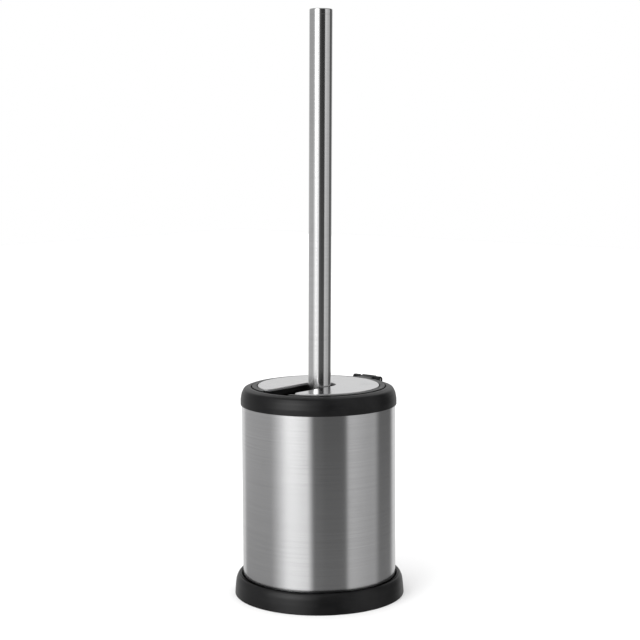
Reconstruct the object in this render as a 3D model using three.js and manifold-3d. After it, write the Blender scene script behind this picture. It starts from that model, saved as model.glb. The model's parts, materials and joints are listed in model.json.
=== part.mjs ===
// Toilet brush and holder: a steel sleeve on a round plastic tray, closed by a hinged lid
// whose slot lets the handle stand upright while the lid is shut.
// Millimetres, +Z up. The origin is the centre of the footprint, on the floor.
// The lid's slot opens towards -Y and its hinge is at +Y, with the hinge axis along X.
import * as THREE from "three";
import { mergeVertices } from "three/addons/utils/BufferGeometryUtils.js";
import Module from "manifold-3d";

const wasm = await Module();
wasm.setup();

// ---- Driving dimensions ----
const GAP = 0.3; // clearance between pieces that touch
const ROUND = 64; // sides of the large turned parts
const SMALL_ROUND = 24; // sides of the small turned parts
const TOTAL_HEIGHT = 407.9; // along the handle

const TRAY_RADIUS = 60.15; // plastic tray that everything stands in
const TRAY_LIP_RADIUS = 57.0;
const TRAY_LIP_HEIGHT = 14.8;
const TRAY_UNDERSIDE = 0.15; // the pads hold it this far off the floor
const TRAY_GUTTER = 5.6; // floor of the groove that the sleeve stands in
const TRAY_FLOOR = 4.2;

const SLEEVE_RADIUS = 54.0;
const SLEEVE_WALL = 0.8;
const SLEEVE_TOP = 139.2;

const RING_RADIUS = 54.8; // plastic collar on top of the sleeve
const RING_UNDER_EDGE = 135.3;
const RING_CREST = 147.8;
const RING_MOUTH_RADIUS = 47.2; // the lid drops into this
const LEDGE_HEIGHT = 141.2; // the cup hangs on this
const LEDGE_RADIUS = 44.5;

const LID_RADIUS = 46.7;
const LID_UNDERSIDE = 143.0;
const LID_TOP = 147.8;
const PLATE_RADIUS = 42.7; // steel disc let into the lid
const PLATE_TOP = 148.6;
const PLATE_THICKNESS = 1.6;
const SLOT_WIDTH = 23.2;
const SLOT_END_Y = 0.8; // centre of the slot's round end

const HINGE_Y = 54.2;
const HINGE_Z = 146.7;
const HINGE_PIN_RADIUS = 1.0;
const LUG_RADIUS = 2.7;
const LUG_INNER_X = 6.9;
const LUG_OUTER_X = 12.4;
const BARREL_RADIUS = 1.9;
const BARREL_HALF_WIDTH = 6.4;
const TOE_RADIUS = 3.0; // reach of the lid's stop toe
const STOP_ANGLE_DEG = 41; // where the toe points while the lid is shut

const HANDLE_RADIUS = 8.0;
const HANDLE_WALL = 0.9;
const HANDLE_BOTTOM = 99.7;
const CAP_HEIGHT = 4.0; // from the handle's top down to the joint with the tube

const BRISTLE_RADIUS = 37.5;
const BRISTLE_BOTTOM = 15.0;
const BRISTLE_TOP = 88.0;
const CORE_RADIUS = 9.0;
const SHOULDER_RADIUS = 24.0; // disc above the bristles
const SHOULDER_TOP = 92.0;
const STUD_RADIUS = 3.0;
const BRUSH_LEAN_DEG = 0.67; // the loose brush leans towards +X
const BRUSH_MIDDLE = [1.17, -1.35, 62.0]; // and its axis goes through this point

const PAD_RADIUS = 6.0;
const PAD_ORBIT = 46.0;
const PAD_THICKNESS = 1.4;
const SCREW_ORBIT = 49.4;
const SCREW_RADIUS = 1.5;
const SCREW_HEAD_RADIUS = 2.9;
const SCREW_HEAD_BOTTOM = 0.8;
const SCREW_HEAD_TOP = 2.4;
const SCREW_TIP = 11.0;

// ---- Finishes ----
const finish = (color, roughness, metalness) => new THREE.MeshStandardMaterial({ color, roughness, metalness });
const BLACK_PLASTIC = finish(0x17171a, 0.55, 0);
const DARK_PLASTIC = finish(0x202124, 0.6, 0);
const BRUSHED_STEEL = finish(0xc9cacc, 0.28, 1);
const PLAIN_STEEL = finish(0xa9abae, 0.35, 1);
const PAD_RUBBER = finish(0x1b1b1b, 0.9, 0);
const NYLON = finish(0xe9e8e2, 0.6, 0);

// ---- Solids ----
// A closed geometry as a solid, without the flat triangles that a profile on the axis leaves.
function solidOf(geometry) {
  const bare = geometry.index ? geometry.toNonIndexed() : geometry.clone();
  bare.deleteAttribute("normal");
  bare.deleteAttribute("uv");
  const merged = mergeVertices(bare, 1e-4);
  const corners = merged.index.array;
  const kept = [];
  for (let i = 0; i < corners.length; i += 3) {
    const [a, b, c] = corners.slice(i, i + 3);
    if (a !== b && b !== c && c !== a) kept.push(a, b, c);
  }
  const triVerts = new Uint32Array(kept);
  const vertProperties = merged.attributes.position.array;
  return new wasm.Manifold(new wasm.Mesh({ numProp: 3, vertProperties, triVerts }));
}

function geometryOf(solid) {
  const mesh = solid.getMesh();
  const geometry = new THREE.BufferGeometry();
  geometry.setAttribute("position", new THREE.BufferAttribute(mesh.vertProperties, 3));
  geometry.setIndex(new THREE.BufferAttribute(mesh.triVerts, 1));
  return geometry;
}

const minus = (solid, tools) => tools.reduce((rest, tool) => rest.subtract(tool), solid);

// A profile of [radius, height] pairs, given anticlockwise with the radius to the right, turned about Z.
function turned(profile, sides = ROUND) {
  const points = profile.map(([radius, height]) => new THREE.Vector2(radius, height));
  const onAxis = points[0].x === 0 && points.at(-1).x === 0;
  if (!onAxis) points.push(points[0].clone());
  return solidOf(new THREE.LatheGeometry(points, sides).rotateX(Math.PI / 2));
}

// A plain round bar between two heights.
function bar(radius, low, high, sides = SMALL_ROUND) {
  const profile = [[0, low], [radius, low], [radius, high], [0, high]];
  return turned(profile, sides);
}

// An outline in X and Y raised between two heights.
function raised(outline, low, high, curveSegments = 12) {
  const depth = high - low;
  const geometry = new THREE.ExtrudeGeometry(outline, { depth, bevelEnabled: false, curveSegments });
  return solidOf(geometry.translate(0, 0, low));
}

// An outline in Y and Z carried along X.
function alongX(outline, fromX, toX) {
  const depth = toX - fromX;
  const geometry = new THREE.ExtrudeGeometry(outline, { depth, bevelEnabled: false, curveSegments: 10 });
  const axes = new THREE.Matrix4().makeBasis(
    new THREE.Vector3(0, 1, 0), new THREE.Vector3(0, 0, 1), new THREE.Vector3(1, 0, 0));
  return solidOf(geometry.applyMatrix4(axes).translate(fromX, 0, 0));
}

function block(width, depth, height, x, y, z) {
  return solidOf(new THREE.BoxGeometry(width, depth, height).translate(x, y, z));
}

// A slot with a round end beside the Z axis, running out past the rim towards -Y.
function slotOutline(halfWidth, reach = 60) {
  const outline = new THREE.Shape();
  outline.moveTo(-halfWidth, -reach);
  outline.lineTo(halfWidth, -reach);
  outline.lineTo(halfWidth, SLOT_END_Y);
  outline.absarc(0, SLOT_END_Y, halfWidth, 0, Math.PI, false);
  outline.lineTo(-halfWidth, -reach);
  return outline;
}

// ---- The model ----
const holder = new THREE.Group();
const lid = new THREE.Group();
const brush = new THREE.Group();

function place(parent, name, solid, material) {
  const mesh = new THREE.Mesh(geometryOf(solid), material);
  mesh.name = name;
  parent.add(mesh);
}

// Points evenly spaced on a circle, as [x, y].
function aroundAxis(orbit, count, startDeg) {
  const spot = (i) => THREE.MathUtils.degToRad(startDeg + (360 * i) / count);
  return Array.from({ length: count }, (_, i) => [orbit * Math.cos(spot(i)), orbit * Math.sin(spot(i))]);
}

const padSpots = aroundAxis(PAD_ORBIT, 4, 0);
const screwSpots = aroundAxis(SCREW_ORBIT, 4, 45);

// Tray: flat floor, a groove for the sleeve, and an outer wall that leans in and rolls over to a lip.
function tray() {
  const profile = [
    [0, TRAY_UNDERSIDE],
    [TRAY_RADIUS - 0.5, TRAY_UNDERSIDE],
    [TRAY_RADIUS, TRAY_UNDERSIDE + 0.6],
    [TRAY_RADIUS - 0.3, 3.4],
    [TRAY_RADIUS - 0.6, 8.5],
    [TRAY_RADIUS - 1.25, 11.4],
    [TRAY_RADIUS - 2.2, 13.7],
    [TRAY_LIP_RADIUS, TRAY_LIP_HEIGHT],
    [TRAY_LIP_RADIUS - 0.8, TRAY_LIP_HEIGHT - 0.2],
    [SLEEVE_RADIUS + 1.9, TRAY_LIP_HEIGHT - 1.0],
    [SLEEVE_RADIUS + 1.9, TRAY_GUTTER],
    [SLEEVE_RADIUS - 1.2, TRAY_GUTTER],
    [SLEEVE_RADIUS - 1.5, TRAY_FLOOR],
    [0, TRAY_FLOOR],
  ];
  const pockets = padSpots.map(([x, y]) => bar(PAD_RADIUS + GAP, -1, PAD_THICKNESS + GAP).translate([x, y, 0]));
  const bores = screwSpots.flatMap(([x, y]) => [
    bar(SCREW_RADIUS + GAP, -1, TRAY_GUTTER + 1, 16).translate([x, y, 0]),
    bar(SCREW_HEAD_RADIUS + GAP, -1, SCREW_HEAD_TOP + GAP, 16).translate([x, y, 0]),
  ]);
  return minus(turned(profile), [...pockets, ...bores]);
}

function screw() {
  const shank = bar(SCREW_RADIUS, SCREW_HEAD_BOTTOM, SCREW_TIP, 16);
  const head = bar(SCREW_HEAD_RADIUS, SCREW_HEAD_BOTTOM, SCREW_HEAD_TOP, 16);
  const crossArm = (width, depth) => block(width, depth, 1.2, 0, 0, SCREW_HEAD_BOTTOM + 0.3);
  return minus(shank.add(head), [crossArm(3.2, 0.8), crossArm(0.8, 3.2)]);
}

// Ring glued inside the foot of the sleeve, which the tray's screws bite into.
function lowerRing() {
  const outer = SLEEVE_RADIUS - SLEEVE_WALL - GAP;
  const base = TRAY_GUTTER + GAP;
  const profile = [[45.8, base], [outer, base], [outer, 14], [outer - 0.6, 14.6], [46.4, 14.6], [45.8, 14]];
  const bores = screwSpots.map(([x, y]) => bar(SCREW_RADIUS + GAP, 0, SCREW_TIP + 1, 16).translate([x, y, 0]));
  return minus(turned(profile), bores);
}

function sleeve() {
  const inner = SLEEVE_RADIUS - SLEEVE_WALL;
  const base = TRAY_GUTTER + GAP;
  return turned([[inner, base], [SLEEVE_RADIUS, base], [SLEEVE_RADIUS, SLEEVE_TOP], [inner, SLEEVE_TOP]]);
}

// The outline of one hinge lug: a round eye on a fillet that grows out of the ring.
function lugOutline() {
  const outline = new THREE.Shape();
  outline.moveTo(50.5, LEDGE_HEIGHT - 1.0);
  outline.lineTo(54.0, LEDGE_HEIGHT - 1.0);
  outline.quadraticCurveTo(HINGE_Y + LUG_RADIUS, LEDGE_HEIGHT + 1.5, HINGE_Y + LUG_RADIUS, HINGE_Z);
  outline.absarc(HINGE_Y, HINGE_Z, LUG_RADIUS, 0, Math.PI, false);
  outline.lineTo(50.5, HINGE_Z - 0.6);
  outline.lineTo(50.5, LEDGE_HEIGHT - 1.0);
  return outline;
}

function roundHole(radius) {
  const hole = new THREE.Shape();
  hole.absarc(HINGE_Y, HINGE_Z, radius, 0, 2 * Math.PI, false);
  return hole;
}

// Collar: a rounded crest outside, a ledge for the cup inside, and a groove that takes the sleeve's edge.
function topRing() {
  const lip = SLEEVE_RADIUS + GAP;
  const skirt = SLEEVE_RADIUS - SLEEVE_WALL - GAP;
  const profile = [
    [lip, RING_UNDER_EDGE],
    [RING_RADIUS, RING_UNDER_EDGE],
    [RING_RADIUS, 139.0],
    [RING_RADIUS - 0.3, 142.0],
    [RING_RADIUS - 1.05, 144.7],
    [RING_RADIUS - 1.8, 146.0],
    [RING_RADIUS - 3.0, 146.9],
    [RING_RADIUS - 4.6, RING_CREST - 0.3],
    [RING_RADIUS - 6.2, RING_CREST],
    [RING_MOUTH_RADIUS + 0.4, RING_CREST - 0.15],
    [RING_MOUTH_RADIUS, RING_CREST - 0.6],
    [RING_MOUTH_RADIUS, LEDGE_HEIGHT],
    [LEDGE_RADIUS, LEDGE_HEIGHT],
    [LEDGE_RADIUS, LEDGE_HEIGHT - 2.8],
    [skirt - 2.0, LEDGE_HEIGHT - 3.8],
    [skirt - 2.0, 127.0],
    [skirt, 127.0],
    [skirt, SLEEVE_TOP + GAP],
    [lip, SLEEVE_TOP + GAP],
  ];
  const notchFloor = HINGE_Z - 2.8;
  const notch = block(2 * LUG_INNER_X, 30, 10, 0, HINGE_Y, notchFloor + 5);
  const lugs = [-LUG_OUTER_X, LUG_INNER_X].map((x) => alongX(lugOutline(), x, x + LUG_OUTER_X - LUG_INNER_X));
  const ring = lugs.reduce((body, lug) => body.add(lug), turned(profile));
  return minus(ring, [notch, alongX(roundHole(HINGE_PIN_RADIUS + GAP), -20, 20)]);
}

function hingePin() {
  return alongX(roundHole(HINGE_PIN_RADIUS), -LUG_OUTER_X + GAP, LUG_OUTER_X - GAP);
}

// Cup: a tapered pot that hangs on the ring's ledge by its flange, with a raised seat for the brush.
function cup() {
  const top = LEDGE_HEIGHT + GAP;
  const profile = [
    [0, 9.0],
    [41.2, 9.0],
    [42.2, 10.0],
    [LEDGE_RADIUS - GAP, top],
    [RING_MOUTH_RADIUS - 0.4, top],
    [RING_MOUTH_RADIUS - 0.4, top + 1.2],
    [LEDGE_RADIUS - 1.9, top + 1.2],
    [40.6, 12.5],
    [39.4, 11.0],
    [14.6, 11.0],
    [14.0, BRISTLE_BOTTOM - GAP],
    [0, BRISTLE_BOTTOM - GAP],
  ];
  return turned(profile, 48);
}

// Barrel of the lid's hinge with its tongue, and a toe that meets the notch floor when the lid is open.
function tongueOutline() {
  const toe = THREE.MathUtils.degToRad(STOP_ANGLE_DEG);
  const onBarrel = (angle, radius) => [HINGE_Y + radius * Math.cos(angle), HINGE_Z + radius * Math.sin(angle)];
  const outline = new THREE.Shape();
  outline.moveTo(44.4, HINGE_Z - 2.0);
  outline.lineTo(HINGE_Y - 1.2, HINGE_Z - 2.0);
  outline.absarc(HINGE_Y, HINGE_Z, BARREL_RADIUS, -2.0, toe - 0.3, false);
  outline.lineTo(...onBarrel(toe - 0.1, TOE_RADIUS));
  outline.lineTo(...onBarrel(toe + 0.1, TOE_RADIUS));
  outline.absarc(HINGE_Y, HINGE_Z, BARREL_RADIUS, toe + 0.3, 2.2, false);
  outline.lineTo(44.4, HINGE_Z + 1.4);
  outline.lineTo(44.4, HINGE_Z - 2.0);
  return outline;
}

// Lid frame: a shallow round tray with a raised border, slotted, and hollowed from below.
function lidFrame() {
  const seat = PLATE_TOP - PLATE_THICKNESS - GAP;
  const border = PLATE_RADIUS + 0.4;
  const web = seat - 1.8;
  const profile = [
    [0, web],
    [border, web],
    [border, LID_UNDERSIDE],
    [LID_RADIUS - 0.5, LID_UNDERSIDE],
    [LID_RADIUS, LID_UNDERSIDE + 0.5],
    [LID_RADIUS, LID_TOP - 0.4],
    [LID_RADIUS - 0.4, LID_TOP],
    [border + 0.2, LID_TOP],
    [border, LID_TOP - 0.2],
    [border, seat],
    [0, seat],
  ];
  const slotWall = raised(slotOutline(SLOT_WIDTH / 2 + 2.2, 43), LID_UNDERSIDE, web + 0.5);
  const body = turned(profile).add(slotWall).add(alongX(tongueOutline(), -BARREL_HALF_WIDTH, BARREL_HALF_WIDTH));
  const slot = raised(slotOutline(SLOT_WIDTH / 2 + GAP), LID_UNDERSIDE - 5, PLATE_TOP + 5);
  return minus(body, [slot, alongX(roundHole(HINGE_PIN_RADIUS + GAP), -20, 20)]);
}

function lidPlate() {
  const low = PLATE_TOP - PLATE_THICKNESS;
  const edge = 0.35;
  const profile = [
    [0, low],
    [PLATE_RADIUS, low],
    [PLATE_RADIUS, PLATE_TOP - edge],
    [PLATE_RADIUS - edge, PLATE_TOP],
    [0, PLATE_TOP],
  ];
  return minus(turned(profile), [raised(slotOutline(SLOT_WIDTH / 2), low - 5, PLATE_TOP + 5)]);
}

function handleTube() {
  const inner = HANDLE_RADIUS - HANDLE_WALL;
  const top = TOTAL_HEIGHT - CAP_HEIGHT - GAP;
  const profile = [[inner, HANDLE_BOTTOM], [HANDLE_RADIUS, HANDLE_BOTTOM], [HANDLE_RADIUS, top], [inner, top]];
  return turned(profile, 32);
}

// Closing end with a rounded edge, on a spigot inside the tube.
function handleCap() {
  const spigot = HANDLE_RADIUS - HANDLE_WALL - GAP;
  const rim = TOTAL_HEIGHT - CAP_HEIGHT;
  const profile = [
    [0, rim - 6],
    [spigot, rim - 6],
    [spigot, rim],
    [HANDLE_RADIUS, rim],
    [HANDLE_RADIUS, TOTAL_HEIGHT - 0.8],
    [HANDLE_RADIUS - 0.25, TOTAL_HEIGHT - 0.25],
    [HANDLE_RADIUS - 0.8, TOTAL_HEIGHT],
    [0, TOTAL_HEIGHT],
  ];
  return turned(profile, 32);
}

// Plug pressed into the tube's foot, with a collar below it and a hole for the stud.
function handlePlug() {
  const spigot = HANDLE_RADIUS - HANDLE_WALL - GAP;
  const hole = STUD_RADIUS + GAP;
  const collarLow = SHOULDER_TOP + 4 + GAP;
  const collarTop = HANDLE_BOTTOM - GAP;
  const profile = [
    [hole, collarLow],
    [HANDLE_RADIUS, collarLow],
    [HANDLE_RADIUS, collarTop],
    [spigot, collarTop],
    [spigot, HANDLE_BOTTOM + 16],
    [hole, HANDLE_BOTTOM + 16],
  ];
  return turned(profile, 32);
}

// Brush core: a shaft for the bristles, a shoulder disc above them and a neck for the stud.
function brushCore() {
  const hole = STUD_RADIUS + GAP;
  const shoulderLow = BRISTLE_TOP + GAP;
  const profile = [
    [0, 20.0],
    [CORE_RADIUS, 20.0],
    [CORE_RADIUS, shoulderLow],
    [SHOULDER_RADIUS, shoulderLow],
    [SHOULDER_RADIUS, shoulderLow + 1.2],
    [SHOULDER_RADIUS - 4, SHOULDER_TOP - 1],
    [10.0, SHOULDER_TOP],
    [9.0, SHOULDER_TOP + 4],
    [hole, SHOULDER_TOP + 4],
    [hole, 78.0],
    [0, 78.0],
  ];
  return turned(profile, 32);
}

// Outer shape of the bristles: upright sides, a domed foot, and a bore for the core.
function bristles() {
  const bore = CORE_RADIUS + GAP;
  const boreFloor = 20.0 - GAP;
  const profile = [
    [0, BRISTLE_BOTTOM],
    [20, BRISTLE_BOTTOM + 0.8],
    [30, BRISTLE_BOTTOM + 5],
    [36, BRISTLE_BOTTOM + 13],
    [BRISTLE_RADIUS, BRISTLE_BOTTOM + 22],
    [BRISTLE_RADIUS, 76],
    [35, 84],
    [31, BRISTLE_TOP],
    [bore, BRISTLE_TOP],
    [bore, boreFloor],
    [0, boreFloor],
  ];
  return turned(profile, 32);
}

place(holder, "base_tray", tray(), BLACK_PLASTIC);
padSpots.forEach(([x, y], i) => {
  place(holder, `foot_pad_${i + 1}`, bar(PAD_RADIUS, 0, PAD_THICKNESS).translate([x, y, 0]), PAD_RUBBER);
});
screwSpots.forEach(([x, y], i) => {
  place(holder, `base_screw_${i + 1}`, screw().translate([x, y, 0]), PLAIN_STEEL);
});
place(holder, "lower_ring", lowerRing(), DARK_PLASTIC);
place(holder, "outer_sleeve", sleeve(), BRUSHED_STEEL);
place(holder, "top_ring", topRing(), BLACK_PLASTIC);
place(holder, "inner_cup", cup(), DARK_PLASTIC);
place(holder, "hinge_pin", hingePin(), PLAIN_STEEL);
place(lid, "lid_frame", lidFrame(), BLACK_PLASTIC);
place(lid, "lid_plate", lidPlate(), BRUSHED_STEEL);
place(brush, "handle_tube", handleTube(), BRUSHED_STEEL);
place(brush, "handle_cap", handleCap(), BRUSHED_STEEL);
place(brush, "handle_plug", handlePlug(), DARK_PLASTIC);
place(brush, "head_stud", bar(STUD_RADIUS, 80, HANDLE_BOTTOM + 12, 16), PLAIN_STEEL);
place(brush, "brush_core", brushCore(), DARK_PLASTIC);
place(brush, "bristles", bristles(), NYLON);

const leaningBrush = new THREE.Group();
leaningBrush.position.set(...BRUSH_MIDDLE);
leaningBrush.rotation.y = THREE.MathUtils.degToRad(BRUSH_LEAN_DEG);
brush.position.z = -BRUSH_MIDDLE[2];
leaningBrush.add(brush);

const object = new THREE.Group();
object.add(holder, lid, leaningBrush);
export default object;
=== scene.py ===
"""Looks of a toilet brush and its holder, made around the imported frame.

Every surface is worked out with numpy, either as a profile turned about an axis, as an outline carried
through a section, or as strands laid between two curves. Sizes are in metres: a size written in millimetres
is multiplied by MM. Each sub-assembly is a class that builds its meshes and gives them their finishes.
"""

import json
import logging
import math
from dataclasses import dataclass, field
from enum import Enum
from typing import Callable, Sequence

import bpy
import numpy as np
from mathutils import Matrix, Vector


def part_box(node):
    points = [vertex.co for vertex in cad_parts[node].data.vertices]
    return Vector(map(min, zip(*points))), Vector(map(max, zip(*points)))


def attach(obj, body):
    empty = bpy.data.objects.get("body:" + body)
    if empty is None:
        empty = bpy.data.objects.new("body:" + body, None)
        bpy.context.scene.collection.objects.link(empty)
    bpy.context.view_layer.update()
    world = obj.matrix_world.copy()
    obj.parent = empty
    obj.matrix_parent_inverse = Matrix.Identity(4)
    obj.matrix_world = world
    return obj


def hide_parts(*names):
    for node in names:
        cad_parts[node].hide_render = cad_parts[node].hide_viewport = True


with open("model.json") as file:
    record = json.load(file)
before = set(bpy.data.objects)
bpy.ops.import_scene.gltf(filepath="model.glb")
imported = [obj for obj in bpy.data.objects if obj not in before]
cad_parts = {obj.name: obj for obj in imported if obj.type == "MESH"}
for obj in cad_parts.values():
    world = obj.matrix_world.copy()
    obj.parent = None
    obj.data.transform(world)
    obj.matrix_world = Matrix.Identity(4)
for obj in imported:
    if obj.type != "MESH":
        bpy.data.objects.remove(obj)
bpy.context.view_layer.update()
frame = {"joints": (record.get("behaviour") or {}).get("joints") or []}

logging.basicConfig(level=logging.INFO, format="%(name)s: %(message)s")
log = logging.getLogger("brush_holder")

MM = 0.001
TURN_STEPS = 192  # facets round a large turned piece
SMALL_TURN_STEPS = 64
SUPPORT = 0.12 * MM  # a flat keeps its normal up to this far from a rounded corner
SMOOTH_ANGLE = math.radians(32)


class Body(Enum):
    """Rigid bodies of the frame that a piece can ride on."""

    HOLDER = "holder"
    LID = "lid"
    BRUSH = "brush"


class Slot(Enum):
    """Material slots of the record."""

    BLACK_PLASTIC = "black_plastic"
    DARK_PLASTIC = "dark_plastic"
    BRUSHED_STEEL = "brushed_steel"
    HANDLE_STEEL = "handle_steel"
    PLAIN_STEEL = "plain_steel"
    PAD_RUBBER = "pad_rubber"
    NYLON = "nylon_bristle"


class Grain(Enum):
    """Direction in which a metal was brushed."""

    AROUND = "around the Z axis"
    ACROSS = "along X"


# ---------------------------------------------------------------- shader maths


class Signal:
    """A node's output socket on which Python's operators build Math nodes."""

    def __init__(self, graph: "Graph", socket: bpy.types.NodeSocket) -> None:
        """Wraps socket, which belongs to graph."""
        self.graph = graph
        self.socket = socket

    def _math(self, operation: str, *terms: "Signal | float") -> "Signal":
        """Result of a Math node.

        Args:
            operation: the Math node's operation.
            terms: its inputs, signals or numbers.

        Returns:
            The node's output.
        """
        node = self.graph.add("ShaderNodeMath", {"operation": operation}, dict(enumerate(terms)))
        return self.graph.out(node)

    def __add__(self, other: "Signal | float") -> "Signal":
        """Sum."""
        return self._math("ADD", self, other)

    def __sub__(self, other: "Signal | float") -> "Signal":
        """Difference."""
        return self._math("SUBTRACT", self, other)

    def __rsub__(self, other: float) -> "Signal":
        """Difference from a number."""
        return self._math("SUBTRACT", other, self)

    def __mul__(self, other: "Signal | float") -> "Signal":
        """Product."""
        return self._math("MULTIPLY", self, other)

    __radd__ = __add__
    __rmul__ = __mul__

    def arctan2(self, other: "Signal") -> "Signal":
        """Angle of the point whose height is this signal and whose width is the other, in radians."""
        return self._math("ARCTAN2", self, other)

    def size(self) -> "Signal":
        """Absolute value."""
        return self._math("ABSOLUTE", self)

    def ease(self, low: float, high: float) -> "Signal":
        """Smooth step from 0 at low to 1 at high."""
        settings = {"interpolation_type": "SMOOTHSTEP"}
        inputs = {"Value": self, "From Min": low, "From Max": high}
        node = self.graph.add("ShaderNodeMapRange", settings, inputs)
        return self.graph.out(node)


class Graph:
    """A node tree that is filled by code."""

    def __init__(self, tree: bpy.types.NodeTree) -> None:
        """Takes over tree and empties it."""
        self.tree = tree
        tree.nodes.clear()

    def add(self, kind: str, settings: dict | None = None, inputs: dict | None = None) -> bpy.types.Node:
        """Adds one node.

        Args:
            kind: the node's type.
            settings: its properties, which are set first; "stops" fills a colour ramp.
            inputs: socket names or numbers, with a value or a Signal for each.

        Returns:
            The node.
        """
        node = self.tree.nodes.new(kind)
        for name, value in (settings or {}).items():
            if name == "stops":
                self._fill_ramp(node.color_ramp, value)
            else:
                setattr(node, name, value)
        for name, value in (inputs or {}).items():
            socket = node.inputs[name]
            if isinstance(value, Signal):
                self.tree.links.new(value.socket, socket)
            else:
                socket.default_value = value
        return node

    @staticmethod
    def _fill_ramp(ramp: bpy.types.ColorRamp, stops: Sequence[tuple[float, float]]) -> None:
        """Gives ramp its grey stops, as (position, grey) pairs."""
        while len(ramp.elements) < len(stops):
            ramp.elements.new(1.0)
        for element, (position, grey) in zip(ramp.elements, stops):
            element.position = position
            element.color = (grey, grey, grey, 1.0)

    def out(self, node: bpy.types.Node, name: str | int = 0) -> Signal:
        """One output of node as a Signal."""
        return Signal(self, node.outputs[name])

    def place(self) -> Signal:
        """Object coordinates of the shaded point, in metres."""
        return self.out(self.add("ShaderNodeTexCoord"), "Object")

    def height(self) -> Signal:
        """Object Z of the shaded point, in metres."""
        return self.out(self.add("ShaderNodeSeparateXYZ", inputs={0: self.place()}), "Z")

    def noise(self, lengths: Sequence[float], detail: float = 2.0, roughness: float = 0.5) -> Signal:
        """Noise from 0 to 1 whose features have the given lengths.

        Args:
            lengths: feature length along X, Y and Z, in metres.
            detail: octaves added to the first.
            roughness: strength of each octave against the one before.

        Returns:
            The noise value.
        """
        scaled = self.add("ShaderNodeVectorMath", {"operation": "MULTIPLY"},
                          {0: self.place(), 1: tuple(1.0 / length for length in lengths)})
        noise = self.add("ShaderNodeTexNoise", {"noise_dimensions": "3D"},
                         {"Vector": self.out(scaled), "Scale": 1.0, "Detail": detail, "Roughness": roughness})
        return self.out(noise, "Fac")

    def blend(self, factor: Signal, first: Sequence[float], second: Sequence[float]) -> Signal:
        """Colour between first, where factor is 0, and second, where it is 1."""
        mix = self.add("ShaderNodeMix", {"data_type": "RGBA"},
                       {"Factor": factor, 6: (*first, 1.0), 7: (*second, 1.0)})
        return self.out(mix, 2)

    def bump(self, height: Signal, depth: float) -> Signal:
        """Normal of a surface raised by height times depth, in metres."""
        node = self.add("ShaderNodeBump", inputs={"Height": height, "Distance": depth, "Strength": 1.0})
        return self.out(node)


def new_material(name: str) -> tuple[bpy.types.Material, Graph]:
    """An empty material and the graph that fills it."""
    material = bpy.data.materials.new(name)
    material.use_nodes = True
    return material, Graph(material.node_tree)


def principled(graph: Graph, inputs: dict) -> None:
    """Ends graph with a Principled shader that has these inputs."""
    shader = graph.add("ShaderNodeBsdfPrincipled", inputs=inputs)
    graph.add("ShaderNodeOutputMaterial", inputs={"Surface": graph.out(shader)})


# ---------------------------------------------------------------- finishes


@dataclass(frozen=True)
class MouldedPlastic:
    """Matt plastic with a fine spark-eroded grain, polished patches, and a lighter top band that is partly
    wear and partly painted sheen.
    """

    name: str
    colour: tuple[float, float, float] = (0.0020, 0.0020, 0.0023)
    # lighter colour of the top band, partly wear and partly painted sheen
    worn_and_sheen_colour: tuple[float, float, float] = (0.062, 0.062, 0.063)
    roughness: float = 0.40
    specular: float = 0.30
    grain: float = 0.35 * MM
    grain_depth: float = 0.012 * MM
    # lowest and highest height of the top band that gets painted sheen and wear
    sheen_and_wear_from: float = 1.0
    sheen_and_wear_to: float = 1.01

    def material(self) -> bpy.types.Material:
        """Builds the material.

        Grain is fine noise. Roughness is its middle value plus slow patches and fine scratches.
        A lighter colour, partly wear and partly painted sheen, shows where patchy noise is high in a band
        between two given heights near the top.

        Returns:
            The material.
        """
        material, graph = new_material(self.name)
        grain = graph.noise((self.grain,) * 3, detail=3.0, roughness=0.6)
        patches = graph.noise((22 * MM,) * 3, detail=3.0)
        scratches = graph.noise((9 * MM, 9 * MM, 0.5 * MM), detail=2.0, roughness=0.7).ease(0.60, 0.72)
        # top band where patchy painted sheen and wear lighten the plastic
        high = graph.height().ease(self.sheen_and_wear_from, self.sheen_and_wear_to)
        wear_and_sheen = graph.noise((2.2 * MM,) * 3, detail=5.0, roughness=0.7).ease(0.50, 0.68) * high
        lighter = patches.ease(0.35, 0.75) * 0.10 + scratches * 0.05 + wear_and_sheen * 0.45
        roughness = self.roughness + (patches - 0.5) * 0.14 + scratches * 0.06
        roughness = roughness - wear_and_sheen * 0.05 + (grain - 0.5) * 0.08
        principled(graph, {
            "Base Color": graph.blend(lighter, self.colour, self.worn_and_sheen_colour),
            "Roughness": roughness,
            "Specular IOR Level": self.specular,
            "Normal": graph.bump(grain + scratches * -0.35, self.grain_depth),
        })
        return material


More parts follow.
